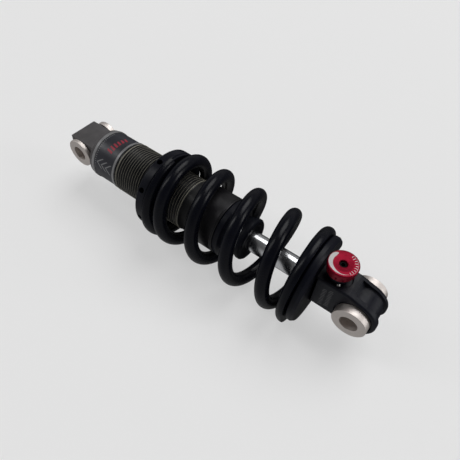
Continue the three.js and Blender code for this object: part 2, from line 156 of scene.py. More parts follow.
def surface(
    name,
    color,
    rough,
    metallic=0.0,
    turned=None,
    grain=2500.0,
    bump=0.03,
    spread=0.25,
    rough_spread=0.08,
    wear=0.0,
    edge=0.25,
    specular=0.5,
    coat=0.0,
    coat_rough=0.1,
    crest=None,
):
    """A finish with cloudy colour, uneven gloss and fine grain; wear makes its edges paler, and crest
    (two radii) paints a pale highlight on the tops of a thread."""
    n = Nodes(name)
    place = n.add("ShaderNodeTexCoord").outputs["Object"]
    fine_at = turned_vector(n, *turned) if turned else place
    cloud = n.noise(place, 90.0, 4.0, 0.6)
    fine = n.noise(fine_at, grain, 3.0, 0.6)
    smudge = n.noise(place, 260.0, 5.0, 0.7)
    dark = tuple(c * (1 - spread) for c in color) + (1.0,)
    light = tuple(min(1.0, c * (1 + spread)) for c in color) + (1.0,)
    shade = n.mix(n.scaled(cloud, 0.3, 0.7, 0.0, 1.0), dark, light)
    speckle = n.scaled(fine, 0.25, 0.75, 0.9, 1.1)
    shade = n.add("ShaderNodeVectorMath", {0: shade, "Scale": speckle}, operation="SCALE").outputs[0]
    normal = n.add("ShaderNodeBevel", {"Radius": edge * MM}, samples=6).outputs[0]
    if wear:
        flat = n.add("ShaderNodeNewGeometry").outputs["Normal"]
        dot = n.add("ShaderNodeVectorMath", {0: normal, 1: flat}, operation="DOT_PRODUCT")
        rubbed = n.scaled(dot.outputs["Value"], 0.985, 0.9, 0.0, wear)
        rubbed = n.math("MULTIPLY", rubbed, n.scaled(smudge, 0.35, 0.6, 0.2, 1.0))
        pale = tuple(min(1.0, c * PALE_GAIN + PALE_LIFT) for c in color) + (1.0,)
        shade = n.mix(rubbed, shade, pale)
    # Painted highlight: the crests are mixed towards the pale crest colour, more the higher the
    # surface stands
    if crest:
        radius = n.add("ShaderNodeSeparateXYZ", {0: fine_at}).outputs[0]
        height = n.scaled(radius, crest[0] * MM, crest[1] * MM, 0.0, 1.0)
        shade = n.mix(n.math("POWER", height, 2.0), shade, CREST_HIGHLIGHT_COLOR)
    rough_at = n.math("ADD", n.scaled(smudge, 0.3, 0.7, -rough_spread, rough_spread), rough)
    bumped = n.add(
        "ShaderNodeBump", {"Strength": bump, "Distance": 0.00005, "Height": fine, "Normal": normal}
    )
    n.put(n.shader.inputs["Base Color"], shade)
    n.put(n.shader.inputs["Roughness"], rough_at)
    n.put(n.shader.inputs["Normal"], bumped.outputs[0])
    n.shader.inputs["Metallic"].default_value = metallic
    n.shader.inputs["Specular IOR Level"].default_value = specular
    n.shader.inputs["Coat Weight"].default_value = coat
    n.shader.inputs["Coat Roughness"].default_value = coat_rough
    return n.material


AXIS_X = (0, (0.0, 0.0, 0.0))
AXIS_KNOB = (2, (KNOB_X * MM, 0.0, 0.0))
AXIS_UPPER = (1, (0.0, 0.0, 0.0))
AXIS_LOWER = (1, (EYE_X * MM, 0.0, 0.0))

BODY_BLACK = (0.0045, 0.0052, 0.01)
EYE_STEEL = (0.78, 0.725, 0.69)

looks = {
    "blasted_grey": surface("blasted_grey", (0.095, 0.09, 0.092), 0.55, 0.2, bump=0.12, wear=0.25),
    "black_body": surface("black_body", BODY_BLACK, 0.34, 0.0, AXIS_X, wear=0.12, specular=0.16),
    "black_eyelet": surface(
        "black_eyelet", (0.0065, 0.0074, 0.013), 0.42, bump=0.1, wear=0.1, specular=0.18
    ),
    # The thread's crests carry a painted highlight between these two radii
    "thread": surface(
        "thread", (0.006, 0.006, 0.007), 0.4, 0.0, AXIS_X, specular=0.3, crest=(13.42, 13.68)
    ),
    "sleeve": surface("sleeve", (0.013, 0.0125, 0.0145), 0.36, 0.3, AXIS_X, bump=0.06, specular=0.4),
    "land": surface("land", (0.26, 0.26, 0.265), 0.45, 0.3, AXIS_X, bump=0.06),
    "label": surface("label", (0.017, 0.018, 0.026), 0.42, bump=0.02, coat=0.1, coat_rough=0.35),
    "spring_paint": surface(
        "spring_paint",
        (0.0032, 0.0037, 0.0072),
        0.26,
        grain=1100.0,
        bump=0.05,
        rough_spread=0.04,
        edge=0.1,
        specular=0.16,
    ),
    # Painted shade: the body black again with less shine and less edge wear, so the seat reads darker
    # as if in shade
    "seat_paint_shaded": surface("seat_paint_shaded", BODY_BLACK, 0.36, 0.0, AXIS_X, wear=0.05, specular=0.14),
    # The screw's own black deepened with painted shade: a near-black, barely shiny finish so the knob
    # screw head reads as the dark centre hole
    "hole_shade_black": surface("hole_shade_black", (0.0015, 0.0015, 0.002), 0.6, specular=0.08),
    "steel_upper": surface("steel_upper", EYE_STEEL, 0.55, 1.0, AXIS_UPPER, 5200.0, 0.16, 0.06),
    "steel_lower": surface("steel_lower", EYE_STEEL, 0.55, 1.0, AXIS_LOWER, 5200.0, 0.16, 0.06),
    "steel": surface("steel", (0.5, 0.49, 0.48), 0.35, 1.0, AXIS_X, 3000.0, 0.1, 0.08),
    "chrome": surface("chrome", (0.78, 0.79, 0.81), 0.2, 1.0, AXIS_X, 3500.0, 0.01, 0.04, 0.03),
    "brass": surface("brass", (0.55, 0.4, 0.2), 0.35, 1.0, AXIS_X, 3000.0, 0.1, 0.1),
    "red": surface(
        "red", (0.2, 0.002, 0.016), 0.38, 0.6, AXIS_KNOB, 4200.0, 0.1, 0.1, wear=0.12, specular=0.12
    ),
    "rubber": surface("rubber", (0.003, 0.004, 0.0085), 0.5, bump=0.2, grain=1500.0, specular=0.16),
    "polymer": surface("polymer", (0.03, 0.03, 0.033), 0.6, bump=0.15),
    "alloy": surface("alloy", (0.66, 0.66, 0.68), 0.36, 1.0, AXIS_X, 3000.0, 0.1, 0.06),
    "white_ink": surface("white_ink", (0.6, 0.58, 0.58), 0.5, bump=0.05, spread=0.04),
    "red_ink": surface("red_ink", (0.32, 0.02, 0.04), 0.5, bump=0.05, spread=0.15),
    "grey_ink": surface("grey_ink", (0.22, 0.225, 0.23), 0.5, bump=0.05, spread=0.15),
    "faint_ink": surface("faint_ink", (0.12, 0.12, 0.125), 0.5, bump=0.05, spread=0.2),
}

# ---- Mesh tools ----------------------------------------------------------------------------------


NEARLY_STRAIGHT = 1.5


def rounded(profile, fillet, steps=3, loop=None):
    """The outline with its corners rounded; a third number in a point is that corner's own radius."""
    loop = profile[0][1] > 0 if loop is None else loop
    profile = [p for i, p in enumerate(profile) if i == 0 or p[:2] != profile[i - 1][:2]]
    made = []
    count = len(profile)
    for i, point in enumerate(profile):
        corner = Vector(point[:2])
        if not loop and i in (0, count - 1):
            made.append(corner)
            continue
        before = Vector(profile[i - 1][:2]) - corner
        after = Vector(profile[(i + 1) % count][:2]) - corner
        half = before.angle(after) / 2
        radius = point[2] if len(point) > 2 else fillet
        if half > NEARLY_STRAIGHT or radius == 0:
            made.append(corner)
            continue
        reach = min(radius / math.tan(half), 0.45 * before.length, 0.45 * after.length)
        start = corner + before.normalized() * reach
        end = corner + after.normalized() * reach
        for k in range(steps + 1):
            t = k / steps
            made.append(start * (1 - t) ** 2 + corner * 2 * t * (1 - t) + end * t**2)
    return made


def placed(axis, along, radius, angle):
    """The point at a distance along an axis, a radius from it and an angle round it."""
    a, b = radius * math.cos(angle), radius * math.sin(angle)
    return {"x": (along, -b, a), "y": (a, along, b), "z": (a, b, along)}[axis]


def to_object(name, vertices, faces, look, shift=(0, 0, 0)):
    """Makes a piece from points in millimetres."""
    mesh = bpy.data.meshes.new(name)
    mesh.from_pydata([(Vector(v) + Vector(shift)) * MM for v in vertices], [], faces)
    mesh.validate()
    made = bmesh.new()
    made.from_mesh(mesh)
    bmesh.ops.remove_doubles(made, verts=made.verts, dist=1e-7)
    bmesh.ops.recalc_face_normals(made, faces=made.faces)
    made.to_mesh(mesh)
    made.free()
    mesh.materials.append(looks[look])
    piece = bpy.data.objects.new(name, mesh)
    bpy.context.scene.collection.objects.link(piece)
    return piece


def lathe(name, axis, profile, look, sides=144, fillet=0.2, shift=(0, 0, 0), shape=None):
    """Turns a profile of (along, radius) round an axis; shape may change a point's radius."""
    points = rounded(profile, fillet)
    loop = profile[0][1] > 0
    vertices, faces = [], []
    for along, radius in points:
        for k in range(sides):
            angle = TAU * k / sides
            r = shape(along, radius, angle) if shape else radius
            vertices.append(placed(axis, along, max(r, 0.0), angle))
    rows = len(points)
    for i in range(rows if loop else rows - 1):
        j = (i + 1) % rows
        for k in range(sides):
            m = (k + 1) % sides
            faces.append((i * sides + k, i * sides + m, j * sides + m, j * sides + k))
    return to_object(name, vertices, faces, look, shift)


def inset(outline, amount):
    """The outline moved inward by a distance, corner by corner."""
    count = len(outline)
    area = sum(outline[i - 1].cross(outline[i]) for i in range(count))
    side = 1 if area > 0 else -1
    made = []
    for i, point in enumerate(outline):
        before = (point - outline[i - 1]).normalized()
        after = (outline[(i + 1) % count] - point).normalized()
        normal = Vector((-before.y - after.y, before.x + after.x)) * side
        normal.normalize()
        lean = max(0.3, normal.dot(Vector((-before.y, before.x)) * side))
        made.append(point + normal * amount / lean)
    return made


def plate(name, outline, low, high, edge, look, steps=4):
    """An outline in X and Z made solid from y = low to y = high, with rounded rims."""
    rings = [(low, 0.0)]
    if edge:
        turns = [(k / steps) * math.pi / 2 for k in range(steps, -1, -1)]
        rings = [(low + edge * (1 - math.sin(t)), edge * (1 - math.cos(t))) for t in turns]
    rings += [(low + high - y, amount) for y, amount in rings[::-1]]
    vertices, faces = [], []
    for y, amount in rings:
        for point in inset(outline, amount):
            vertices.append((point.x, y, point.y))
    count = len(outline)
    for i in range(len(rings) - 1):
        for k in range(count):
            m = (k + 1) % count
            faces.append((i * count + k, i * count + m, (i + 1) * count + m, (i + 1) * count + k))
    faces.append(tuple(range(count)))
    faces.append(tuple(range((len(rings) - 1) * count, len(rings) * count)))
    return to_object(name, vertices, faces, look)


def combine(piece, others, operation):
    """Applies exact booleans with the other pieces and removes them."""
    for other in others:
        modifier = piece.modifiers.new("combine", "BOOLEAN")
        modifier.solver = "EXACT"
        modifier.operation = operation
        modifier.object = other
    bpy.context.view_layer.update()
    evaluated = piece.evaluated_get(bpy.context.evaluated_depsgraph_get())
    mesh = bpy.data.meshes.new_from_object(evaluated)
    piece.modifiers.clear()
    piece.data = mesh
    for other in others:
        bpy.data.objects.remove(other)
    return piece


def soften(piece, angle=32):
    """Smooth shading that breaks at sharp edges, weighted towards the large faces."""
    piece.data.shade_smooth()
    piece.data.set_sharp_from_angle(angle=math.radians(angle))
    modifier = piece.modifiers.new("shading", "WEIGHTED_NORMAL")
    modifier.keep_sharp = True


def settle(piece, body, slot, *nodes, angle=32):
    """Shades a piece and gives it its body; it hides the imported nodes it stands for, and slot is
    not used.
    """
    soften(piece, angle)
    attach(piece, body)
    if nodes:
        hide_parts(*nodes)
    return piece


OVERRUN = 3


def cutter(name, axis, start, end, radius, flare=0.25, at=(0, 0, 0), sides=64, mouth="end"):
    """A round hole with a broken edge where it meets the surface, at its end or at both ends."""
    wide = radius + flare
    profile = [(start, 0), (start, radius)]
    if mouth == "both":
        profile = [(start - OVERRUN, 0), (start - OVERRUN, wide)]
        profile += [(start, wide), (start + flare, radius)]
    profile += [(end - flare, radius), (end, wide), (end + OVERRUN, wide), (end + OVERRUN, 0)]
    return lathe(name, axis, profile, "steel", sides, 0.0, at)


# ---- Upper eyelet --------------------------------------------------------------------------------
BLOCK_HALF = 8.2
BLOCK_HALF_Z = 7.45
EYE_BORE_R = 6.0
TOP_CORNER = 1.7
PLAN_CORNER = 2.2
CAP_R = 13.1
block = plate(
    "upper_eyelet_shell",
    rounded(
        [
            (upper_low.x, -BLOCK_HALF_Z, TOP_CORNER),
            (11.4, -BLOCK_HALF_Z, 0.1),
            (11.4, BLOCK_HALF_Z, 0.1),
            (upper_low.x, BLOCK_HALF_Z, TOP_CORNER),
        ],
        TOP_CORNER,
        6,
        True,
    ),
    -BLOCK_HALF,
    BLOCK_HALF,
    0.45,
    "blasted_grey",
)
cap = lathe(
    "upper_cap",
    "x",
    [
        (10.6, 0),
        (10.6, CAP_R - 0.9, 0.3),
        (11.5, CAP_R, 0.4),
        (13.0, CAP_R),
        (13.0, 10.8),
        (20.0, 10.8),
        (20.0, 0),
    ],
    "blasted_grey",
)
# Stands a hair outside the block, since cuts that share a face fail
plan = plate(
    "plan_corners",
    rounded(
        [
            (upper_low.x - 0.01, -BLOCK_HALF - 0.02, PLAN_CORNER),
            (20, -BLOCK_HALF - 0.02, 0),
            (20, BLOCK_HALF + 0.02, 0),
            (upper_low.x - 0.01, BLOCK_HALF + 0.02, PLAN_CORNER),
        ],
        0,
        6,
        True,
    ),
    -9.0,
    9.0,
    0.0,
    "blasted_grey",
)
plan.data.transform(Matrix.Rotation(math.pi / 2, 4, "X"))
combine(block, [plan], "INTERSECT")
combine(block, [cap], "UNION")
combine(
    block,
    [
        cutter("eye_bore", "y", -BLOCK_HALF, BLOCK_HALF, EYE_BORE_R, 0.3, mouth="both", sides=96),
        cutter("charge_port", "z", -9.0, 1.0, 1.6, 0.0, (9.1, 0, 0), 40),
    ],
    "DIFFERENCE",
)
settle(block, "damper", "dark_anodised", "upper_eyelet", angle=28)

# ---- Damper tube with its thread -----------------------------------------------------------------
THREAD_START = tube_low.x + 17.9
THREAD_END = tube_low.x + 60.1
THREAD_PITCH = 1.5
THREAD_R = 13.7
THREAD_DEPTH = 0.72
CREST_WIDTH = 0.16
TUBE_BORE_R = 11.05
LAND_R = 13.55
LABEL_R = 13.2
INK_R = LABEL_R + 0.03


def thread_shape(along, radius, angle):
    """Sixty degree thread with a narrow flat crest, running out at both ends."""
    if radius < THREAD_R - 0.2 or not THREAD_START < along < THREAD_END:
        return radius
    phase = (along / THREAD_PITCH - angle / TAU) % 1.0
    height = max(0.0, abs(phase - 0.5) * 2 - CREST_WIDTH) / (1 - CREST_WIDTH)
    fade = min(1.0, (along - THREAD_START) / 0.7, (THREAD_END - along) / 1.2)
    return radius - THREAD_DEPTH * (1 - height) * fade


rows = int((THREAD_END - THREAD_START) / THREAD_PITCH * 10)
thread_rows = [
    (THREAD_START + (THREAD_END - THREAD_START) * i / rows, THREAD_R, 0.0) for i in range(rows + 1)
]
barrel = lathe(
    "threaded_tube",
    "x",
    [(29.7, 11.0), (29.7, 13.1), (31.2, 13.1)]
    + thread_rows
    + [(73.9, 13.35), (78.5, 13.35), (78.5, 11.0)],
    "thread",
    168,
    0.12,
    shape=thread_shape,
)
settle(barrel, "damper", "black_anodised", "damper_tube", angle=50)
for name, start, end in (("land_front", 13.3, 14.9), ("land_rear", 28.3, 29.65)):
    section = [(start, TUBE_BORE_R), (start, LAND_R), (end, LAND_R), (end, TUBE_BORE_R)]
    land = lathe(name, "x", section, "land", 144, 0.15)
    settle(land, "damper", "black_anodised")
sleeve = lathe(
    "tube_sleeve",
    "x",
    [
        (78.6, TUBE_BORE_R),
        (78.6, 13.4),
        (79.3, TUBE_R, 0.4),
        (tube_high.x - 1.2, TUBE_R, 0.1),
        (tube_high.x - 0.9, TUBE_R - 0.25, 0.1),
        (tube_high.x - 0.6, TUBE_R, 0.1),
        (tube_high.x, TUBE_R - 0.3),
        (tube_high.x, 12.0),
        (86.0, 12.0),
        (86.0, TUBE_BORE_R),
    ],
    "sleeve",
)
settle(sleeve, "damper", "black_anodised")
band = lathe(
    "printed_band",
    "x",
    [(15.0, 12.55), (15.0, LABEL_R), (28.2, LABEL_R), (28.2, 12.55)],
    "label",
    144,
    0.08,
)
settle(band, "damper", "print", "label_band")


def patches(name, quads, look, steps=8):
    """Thin printed marks on the label, each with four (x, degrees) corners laid on the cylinder."""
    vertices, faces = [], []
    for corners in quads:
        first = len(vertices)
        for i in range(steps + 1):
            for j in range(steps + 1):
                u, v = i / steps, j / steps
                weights = ((1 - u) * (1 - v), u * (1 - v), u * v, (1 - u) * v)
                x = sum(w * corner[0] for w, corner in zip(weights, corners))
                angle = sum(w * corner[1] for w, corner in zip(weights, corners))
                vertices.append(placed("x", x, INK_R, math.radians(angle)))
        for i in range(steps):
            for j in range(steps):
                k = first + i * (steps + 1) + j
                faces.append((k, k + 1, k + steps + 2, k + steps + 1))
    return to_object(name, vertices, faces, look)


red_bars = []
for i in range(6):
    left, right_end, top = 20.4 + 0.45 * i, 24.2 + 0.2 * i, 34 - 9 * i
    red_bars.append([(left, top - 4), (right_end, top), (right_end, top - 6), (left, top - 8)])
settle(patches("printed_bars", red_bars, "red_ink"), "damper", "print")
chevrons = []
for i in range(3):
    x, angle = 16.8 + 3.1 * i, 66 + 2 * i
    for end in (angle + 12, angle - 12):
        chevrons.append([(x, angle), (x + 3.4, end), (x + 4.3, end), (x + 0.9, angle)])
settle(patches("printed_chevrons", chevrons, "grey_ink"), "damper", "print")
scale_marks = []
for i in range(20):
    low = 5 * i - 14
    scale_marks.append([(15.25, low), (16.1, low), (16.1, low + 1.4), (15.25, low + 1.4)])
settle(patches("printed_scale", scale_marks, "grey_ink", 2), "damper", "print")

# ---- Seal head, wiper and bumper -----------------------------------------------------------------
head = lathe(
    "seal_head_body",
    "x",
    [
        (head_low.x, 6.6),
        (head_low.x, 11.8),
        (95.5, 11.8),
        (95.5, 14.5),
        (95.9, head_high.z, 0.3),
        (98.2, head_high.z, 0.3),
        (head_high.x, 12.9, 0.3),
        (head_high.x, 7.9),
        (97.2, 7.9),
        (97.2, 5.6),
        (95.6, 5.6),
        (95.6, 8.2),
        (92.4, 8.2),
        (92.4, 6.6),
    ],
    "black_body",
)
settle(head, "damper", "black_anodised", "seal_head")
wiper = lathe(
    "wiper_lip",
    "x",
    [(97.4, 5.1), (97.4, 7.7), (99.4, 7.7), (99.6, 6.6), (99.7, 5.3)],
    "rubber",
    96,
    0.1,
)
settle(wiper, "damper", "rubber", "wiper_seal")
bumper = lathe(
    "bumper_cup",
    "x",
    [
        (bumper_low.x, 5.15),
        (bumper_low.x, 9.0, 0.4),
        (101.0, 9.6, 0.6),
        (104.4, 10.0, 1.2),
        (106.4, bumper_high.z, 0.8),
        (108.0, bumper_high.z, 0.6),
        (bumper_high.x, 10.1, 0.4),
        (bumper_high.x, 8.3, 0.3),
        (108.1, 7.3, 0.3),
        (108.1, 5.15),
    ],
    "rubber",
    128,
)
settle(bumper, "damper", "rubber", "bottom_out_bumper")

# ---- Spring --------------------------------------------------------------------------------------
MEAN_R = 20.45
WIRE = 3.3
TURNS = 5.45
FIRST_PITCH = 6.75
PITCH_GAIN = 13.05
PITCH_LOSS = 16.4
END_GROWTH = 0.65


def smooth(value, low, high):
    """Rises gently from 0 at low to 1 at high."""
    t = min(1.0, max(0.0, (value - low) / (high - low)))
    return t * t * (3 - 2 * t)


def rise_per_turn(turn):
    """Millimetres along the axis for one turn: close coils at both ends, open ones between."""
    opened = FIRST_PITCH + PITCH_GAIN * smooth(turn, 0.8, 1.5)
    return opened - PITCH_LOSS * smooth(turn, 4.35, 5.15)


def spring_mesh():
    """The wire swept along its coils, with both ends ground flat."""
    steps, around = 900, 36
    x = spring_low.x - 0.6
    centres = []
    for i in range(steps + 1):
        turn = TURNS * i / steps
        radius = MEAN_R + END_GROWTH * smooth(turn, 4.97, 5.4)
        centres.append(Vector(placed("x", x, radius, TAU * turn)))
        x += rise_per_turn(turn + TURNS / steps / 2) * TURNS / steps
    vertices, faces = [], []
    for i, centre in enumerate(centres):
        tangent = (centres[min(i + 1, steps)] - centres[max(i - 1, 0)]).normalized()
        outward = Vector((0, centre.y, centre.z)).normalized()
        outward = (outward - tangent * outward.dot(tangent)).normalized()
        side = tangent.cross(outward)
        for k in range(around):
            a = TAU * k / around
            point = centre + (outward * math.cos(a) + side * math.sin(a)) * WIRE
            point.x = min(max(point.x, spring_low.x), spring_high.x)
            vertices.append(point)
    for i in range(steps):
        for k in range(around):
            m = (k + 1) % around
            near, far = i * around, (i + 1) * around
            faces.append((near + k, near + m, far + m, far + k))
    faces.append(tuple(range(around)))
    faces.append(tuple(range(steps * around, (steps + 1) * around)))
    return to_object("spring_coils", vertices, faces, "spring_paint")


spring = settle(spring_mesh(), "damper", "painted_steel", "coil_spring", angle=40)
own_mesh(spring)

# ---- Preload collar and washer -------------------------------------------------------------------
collar = lathe(
    "collar_ring",
    "x",
    [
        (collar_low.x, 13.95),
        (collar_low.x, 20.4),
        (collar_low.x + 0.8, collar_high.z, 0.5),
        (collar_high.x - 0.5, collar_high.z),
        (collar_high.x, 20.7),
        (collar_high.x, 13.95),
    ],
    "black_body",
    192,
    0.25,
)
SPANNER_HOLES = 8
HOLES_TURNED = 0.155
holes = []
for i in range(SPANNER_HOLES):
    hole = cutter("spanner_hole", "z", 17.0, 21.15, 1.4, 0.25, (55.1, 0, 0), 40)
    hole.data.transform(Matrix.Rotation(TAU * i / SPANNER_HOLES + HOLES_TURNED, 4, "X"))
    holes.append(hole)
combine(collar, holes, "DIFFERENCE")
settle(collar, "preload_collar", "black_anodised", "preload_collar")
washer = lathe(
    "washer_ring", "x", [(58.3, 14.1), (58.3, 21.0), (59.4, 21.0), (59.4, 14.1)], "rubber", 144, 0.2
)
settle(washer, "preload_washer", "polymer", "preload_washer")

# ---- Lower spring seat ---------------------------------------------------------------------------
seat = lathe(
    "slotted_seat",
    "x",
    [
        (seat_low.x, 12.2),
        (seat_low.x, 16.2),
        (139.1, 16.6),
        (141.0, 16.6),
        (141.0, 21.0),
        (141.6, seat_high.z, 0.4),
        (143.5, seat_high.z, 0.2),
        (seat_high.x, 20.6),
        (seat_high.x, 5.3),
        (142.0, 5.3),
        (142.0, 12.2),
    ],
    "seat_paint_shaded",
    192,
)
slot_cut = plate(
    "slot_cut",
    rounded([(136, -5.3), (148, -5.3), (148, 5.3), (136, 5.3)], 0.0, 1, True),
    0.0,
    24.0,
    0.0,
    "steel",
)
combine(seat, [slot_cut], "DIFFERENCE")
settle(seat, "shaft", "black_anodised", "lower_spring_seat")

# ---- Shaft ---------------------------------------------------------------------------------------
rod = lathe(
    "chromed_shaft",
    "x",
    [
        (shaft_low.x, 1.8),
        (shaft_low.x, 2.9),
        (82.6, 3.0),
        (82.6, SHAFT_R),
        (shaft_high.x, SHAFT_R, 0.4),
        (shaft_high.x, 1.8),
    ],
    "chrome",
    128,
)
settle(rod, "shaft", "chrome", "shaft")

# ---- Lower eyelet --------------------------------------------------------------------------------
EYE_R = lower_high.x - EYE_X
NECK_TOP = lower_high.z
NECK_BOTTOM = -7.0
NECK_START = seat_high.x + 0.03
EYE_HALF = 6.8
SPOT_FACE = 5.9
SPOT_FACE_R = 8.6
POCKET_FLOOR = NECK_TOP - 1.2
ARC_START, ARC_END = -2.33, 1.3
arc = [
    (EYE_X + EYE_R * math.cos(a), EYE_R * math.sin(a), 0.0)
    for a in [ARC_START + (ARC_END - ARC_START) * i / 40 for i in range(41)]
]
eyelet_outline = rounded(
    [(NECK_START, NECK_TOP, 0.1), (NECK_START, NECK_BOTTOM, 0.1), (EYE_X - 9.0, NECK_BOTTOM, 1.0)]
    + arc
    + [(EYE_X - 5.5, NECK_TOP, 1.5)],
    1.0,
    4,
    True,
)
eyelet = plate("lower_eyelet_shell", eyelet_outline, -EYE_HALF, EYE_HALF, 1.0, "black_eyelet")
waist = lathe(
    "waist",
    "y",
    [(-3.8, 9.1, 0.5), (-3.8, 16.0), (4.6, 16.0), (4.6, 9.1, 0.5)],
    "black_eyelet",
    96,
    0.0,
    (EYE_X, 0, 0),
)
keep = plate(
    "waist_side",
    rounded(
        [
            (EYE_X - 3.7, 20),
            (EYE_X - 3.7, 11.0),
            (EYE_X - 1.8, 8.6),
            (EYE_X - 1.8, -20),
            (EYE_X + 20, -20),
            (EYE_X + 20, 20),
        ],
        0.0,
        1,
        True,
    ),
    -6.0,
    7.0,
    0.0,
    "steel",
)
combine(waist, [keep], "INTERSECT")
combine(eyelet, [waist], "DIFFERENCE")
mouth = [
    (SPOT_FACE - 0.3, EYE_BORE_R),
    (SPOT_FACE, EYE_BORE_R + 0.3),
    (SPOT_FACE, SPOT_FACE_R),
    (EYE_HALF - 0.15, SPOT_FACE_R),
    (EYE_HALF, SPOT_FACE_R + 0.15),
    (EYE_HALF + OVERRUN, SPOT_FACE_R + 0.15),
    (EYE_HALF + OVERRUN, 0),
]
eye_hole = [(-y, r) for y, r in mouth[::-1]] + mouth
SOCKET_END, SOCKET_R, ROD_HOLE_R = 147.8, 5.15, 1.8
shaft_bore = [
    (140.0, 0),
    (140.0, SOCKET_R),
    (SOCKET_END, SOCKET_R),
    (SOCKET_END, ROD_HOLE_R),
    (KNOB_X, ROD_HOLE_R),
    (KNOB_X, 0),
]
combine(
    eyelet,
    [
        lathe("eye_hole", "y", eye_hole, "steel", 96, 0.0, (EYE_X, 0, 0)),
        lathe("shaft_bore", "x", shaft_bore, "steel", 72, 0.0),
        cutter("pocket", "z", POCKET_FLOOR, NECK_TOP, 5.6, 0.2, (KNOB_X + 0.8, 0, 0), 96),
        cutter("spindle_bore", "z", -3.4, POCKET_FLOOR, 2.75, 0.1, (KNOB_X, 0, 0), 48),
        cutter("detent_bore", "z", 5.2, POCKET_FLOOR, 1.25, 0.1, (KNOB_X + 2.1, -3.9, 0), 32),
    ],
    "DIFFERENCE",
)
settle(eyelet, "shaft", "black_anodised", "lower_eyelet", angle=28)

# Two columns of slanted ticks on the near side of the neck, every third one longer
TICK_HALF, TICK_LEAN, TICK_SQUASH = 0.55 / 2, 0.5, 0.6
marks, mark_faces = [], []
for column, x in enumerate((150.2, 153.0)):
    for i in range(11):
        z = -4.2 + 1.15 * i + 1.2 * column
        width = 0.75 if i % 3 else 1.1
        first = len(marks)
        for across, rise in ((-1, -1), (1, -1), (1, 1), (-1, 1)):
            dz = rise * TICK_HALF + across * TICK_LEAN
            marks.append((x + across * width, -EYE_HALF - 0.02, z + dz * TICK_SQUASH))
        mark_faces.append((first, first + 1, first + 2, first + 3))
settle(to_object("side_ticks", marks, mark_faces, "faint_ink"), "shaft", "black_anodised")

# ---- Eye hardware --------------------------------------------------------------------------------
SPACER_R = 7.83
SPACER_BORE_R = 4.07
SPACER_GAP = 0.3
for prefix, x, face, look in (
    ("upper", 0.0, BLOCK_HALF, "steel_upper"),
    ("lower", EYE_X, SPOT_FACE, "steel_lower"),
):
    for side in ("near", "far"):
        low, high = span(f"{prefix}_reducer_{side}")
        sign = -1 if side == "near" else 1
        inner, outer = (high.y, low.y) if side == "near" else (low.y, high.y)
        cheek = sign * face + sign * SPACER_GAP
        spacer = lathe(
            f"{prefix}_{side}_spacer",
            "y",
            [
                (inner, SPACER_BORE_R),
                (inner, 4.8),
                (cheek, 5.0),
                (cheek, SPACER_R),
                (outer, SPACER_R, 0.35),
                (outer, SPACER_BORE_R, 0.25),
            ],
            look,
            128,
            0.12,
            (x, 0, 0),
        )
        settle(spacer, f"{prefix}_hardware", "steel", f"{prefix}_reducer_{side}")

# ---- Rebound knob --------------------------------------------------------------------------------
FLUTES = 10
FLUTE_R = 1.0
FLUTE_AXIS_R = 6.9
RIM_START = 18.45


def knob_shape(along, radius, angle):
    """Shallow scallops round the skirt, below the plain rim."""
    if along > RIM_START or radius < 3:
        return radius
    away = (angle - TAU / (2 * FLUTES)) % (TAU / FLUTES)
    away = min(away, TAU / FLUTES - away)
    offset = FLUTE_AXIS_R * math.sin(away)
    if abs(offset) >= FLUTE_R:
        return radius
    return min(radius, FLUTE_AXIS_R * math.cos(away) - math.sqrt(FLUTE_R - offset**2))


# A cone that widens quickly at first and hardly at all higher up
ROW = 0.2
skirt = []
for i in range(1, 20):
    growth = 0.6875 * ROW * i if i < 8 else 1.1 + (ROW * i - 1.6) * 0.16
    skirt.append((14.4 + ROW * i, 5.0 + growth, 0.0))
knob = lathe(
    "adjuster_knob",
    "z",
    [(knob_low.z, 2.6), (knob_low.z, 5.0)]
    + skirt
    + [(18.42, 6.5, 0.0), (18.5, 6.52, 0.0), (18.8, 6.6, 0.0)]
    + [
        (knob_high.z, 6.65, 0.4),
        (knob_high.z, 4.1, 0.8),
        (knob_high.z - 0.3, 2.6, 0.8),
        (knob_high.z - 0.4, 1.75, 0.2),
        (17.3, 1.75),
        (17.3, 2.6),
    ],
    "red",
    240,
    0.12,
    (KNOB_X, 0, 0),
    knob_shape,
)
settle(knob, "rebound_knob", "red_anodised", "rebound_knob", angle=45)


def flat_marks(name, shapes, height, look):
    """Closed strips drawn on the knob's top: lists of (inner radius, outer radius, angle)."""
    vertices, faces = [], []
    for shape in shapes:
        first = len(vertices)
        for inner, outer, angle in shape:
            a = math.radians(angle)
            vertices.append((inner * math.cos(a), inner * math.sin(a), height))
            vertices.append((outer * math.cos(a), outer * math.sin(a), height))
        for i in range(len(shape) - 1):
            k = first + 2 * i
            faces.append((k, k + 1, k + 3, k + 2))
    return to_object(name, vertices, faces, look, (KNOB_X, 0, 0))


crescent = []
for i in range(61):
    t = i / 60
    angle = 140 + 178 * t
    middle = 5.3 + 0.25 * smooth(t, 0.6, 0.88)
    half = 0.9 * (1 - smooth(t, 0.3, 1.0) * 0.93)
    half *= math.sqrt(min(1.0, t * 9)) if t < 0.11 else 1.0
    crescent.append((middle - half, middle + half, angle))
ticks = []
for i in range(9):
    angle = -34 + 13.5 * i
    inner = 4.45 if i % 2 else 4.75
    ticks.append([(inner, 5.7, angle - 1.6), (inner, 5.7, angle + 1.6)])
rings = [[(5.87, 5.97, -36 + 5 * i) for i in range(23)]]
ink_z = knob_high.z + 0.02
for name, shapes in (("knob_sweep_mark", [crescent]), ("knob_click_marks", ticks + rings)):
    settle(flat_marks(name, shapes, ink_z, "white_ink"), "rebound_knob", "red_anodised")

